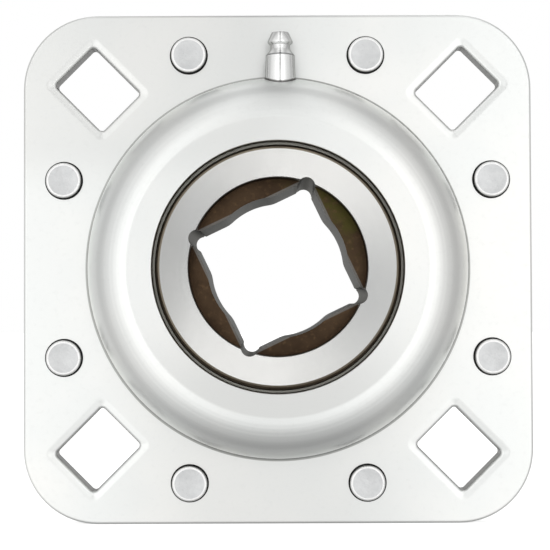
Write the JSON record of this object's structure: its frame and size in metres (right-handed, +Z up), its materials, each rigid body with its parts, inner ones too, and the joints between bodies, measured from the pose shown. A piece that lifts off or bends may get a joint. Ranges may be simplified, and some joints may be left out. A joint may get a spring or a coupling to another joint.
{
  "type": "flange mount bearing",
  "caption": "Square riveted steel flange bearing with a domed housing, square through bore, rectangular bolt holes and a grease nipple.",
  "frame": {"origin": "centre of the bore, on the plane where the two flange halves meet", "axes": "Y along the bore with the front (grease nipple side) facing -Y, +Z up with the nipple at the top, +X to the right seen from the front"},
  "size_m": [0.1524, 0.0444, 0.1524],
  "materials": {
    "flange_steel": "zinc-plated stamped steel, satin",
    "rivet_steel": "zinc-plated cold-headed steel, satin",
    "outer_ring_steel": "ground bearing steel",
    "inner_ring_steel": "ground bearing steel, oiled",
    "ball_steel": "polished bearing steel",
    "cage_steel": "pressed steel strip, oiled",
    "shroud_steel": "pressed steel, phosphated",
    "washer_steel": "pressed steel",
    "seal_rubber": "moulded nitrile rubber",
    "nipple_plating": "bright zinc plate",
    "spring_steel": "drawn spring wire"
  },
  "bodies": {
    "flange_unit": {"front_housing": "flange_steel", "rear_housing": "flange_steel", "rivet_1": "rivet_steel", "rivet_2": "rivet_steel", "rivet_3": "rivet_steel", "rivet_4": "rivet_steel", "rivet_5": "rivet_steel", "rivet_6": "rivet_steel", "rivet_7": "rivet_steel", "rivet_8": "rivet_steel", "grease_nipple_body": "nipple_plating", "grease_nipple_spring": "spring_steel"},
    "outer_ring_unit": {"outer_ring": "outer_ring_steel", "front_seal_washer": "washer_steel", "front_seal_lips": "seal_rubber", "front_seal_shroud": "shroud_steel", "rear_seal_washer": "washer_steel", "rear_seal_lips": "seal_rubber", "rear_seal_shroud": "shroud_steel"},
    "inner_ring": {"inner_ring": "inner_ring_steel"},
    "cage": {"cage_front": "cage_steel", "cage_rear": "cage_steel", "cage_rivets": "cage_steel"},
    "ball_1": {"ball_1": "ball_steel"},
    "ball_2": {"ball_2": "ball_steel"},
    "ball_3": {"ball_3": "ball_steel"},
    "ball_4": {"ball_4": "ball_steel"},
    "ball_5": {"ball_5": "ball_steel"},
    "ball_6": {"ball_6": "ball_steel"},
    "ball_7": {"ball_7": "ball_steel"},
    "ball_8": {"ball_8": "ball_steel"},
    "ball_9": {"ball_9": "ball_steel"},
    "ball_10": {"ball_10": "ball_steel"},
    "check_ball": {"grease_nipple_ball": "ball_steel"}
  },
  "joints": [
    {"name": "align_tilt", "type": "hinge", "parent": "flange_unit", "child": "outer_ring_unit", "pos_m": [0, 0, 0], "axis": [1, 0, 0], "range_deg": [-2, 2]},
    {"name": "inner_ring_spin", "type": "hinge", "parent": "outer_ring_unit", "child": "inner_ring", "pos_m": [0, 0, 0], "axis": [0, 1, 0], "continuous": true},
    {"name": "cage_spin", "type": "hinge", "parent": "outer_ring_unit", "child": "cage", "pos_m": [0, 0, 0], "axis": [0, 1, 0], "continuous": true},
    {"name": "ball_1_spin", "type": "hinge", "parent": "cage", "child": "ball_1", "pos_m": [0, 0, 0.03875], "axis": [0, 1, 0], "continuous": true},
    {"name": "ball_2_spin", "type": "hinge", "parent": "cage", "child": "ball_2", "pos_m": [-0.02278, 0, 0.03135], "axis": [0, 1, 0], "continuous": true},
    {"name": "ball_3_spin", "type": "hinge", "parent": "cage", "child": "ball_3", "pos_m": [-0.03685, 0, 0.01197], "axis": [0, 1, 0], "continuous": true},
    {"name": "ball_4_spin", "type": "hinge", "parent": "cage", "child": "ball_4", "pos_m": [-0.03685, 0, -0.01197], "axis": [0, 1, 0], "continuous": true},
    {"name": "ball_5_spin", "type": "hinge", "parent": "cage", "child": "ball_5", "pos_m": [-0.02278, 0, -0.03135], "axis": [0, 1, 0], "continuous": true},
    {"name": "ball_6_spin", "type": "hinge", "parent": "cage", "child": "ball_6", "pos_m": [0, 0, -0.03875], "axis": [0, 1, 0], "continuous": true},
    {"name": "ball_7_spin", "type": "hinge", "parent": "cage", "child": "ball_7", "pos_m": [0.02278, 0, -0.03135], "axis": [0, 1, 0], "continuous": true},
    {"name": "ball_8_spin", "type": "hinge", "parent": "cage", "child": "ball_8", "pos_m": [0.03685, 0, -0.01197], "axis": [0, 1, 0], "continuous": true},
    {"name": "ball_9_spin", "type": "hinge", "parent": "cage", "child": "ball_9", "pos_m": [0.03685, 0, 0.01197], "axis": [0, 1, 0], "continuous": true},
    {"name": "ball_10_spin", "type": "hinge", "parent": "cage", "child": "ball_10", "pos_m": [0.02278, 0, 0.03135], "axis": [0, 1, 0], "continuous": true},
    {"name": "check_ball_slide", "type": "slide", "parent": "flange_unit", "child": "check_ball", "axis": [0, 0, -1], "range_m": [0, 0.001], "stiffness_N_per_m": 400, "springref_m": -0.002, "deforming": ["grease_nipple_spring"]}
  ],
  "couplings": [
    {"joint": "cage_spin", "follows": "inner_ring_spin", "ratio": 0.40782},
    {"joint": "ball_1_spin", "follows": "inner_ring_spin", "ratio": -2.6199},
    {"joint": "ball_2_spin", "follows": "inner_ring_spin", "ratio": -2.6199},
    {"joint": "ball_3_spin", "follows": "inner_ring_spin", "ratio": -2.6199},
    {"joint": "ball_4_spin", "follows": "inner_ring_spin", "ratio": -2.6199},
    {"joint": "ball_5_spin", "follows": "inner_ring_spin", "ratio": -2.6199},
    {"joint": "ball_6_spin", "follows": "inner_ring_spin", "ratio": -2.6199},
    {"joint": "ball_7_spin", "follows": "inner_ring_spin", "ratio": -2.6199},
    {"joint": "ball_8_spin", "follows": "inner_ring_spin", "ratio": -2.6199},
    {"joint": "ball_9_spin", "follows": "inner_ring_spin", "ratio": -2.6199},
    {"joint": "ball_10_spin", "follows": "inner_ring_spin", "ratio": -2.6199}
  ]
}
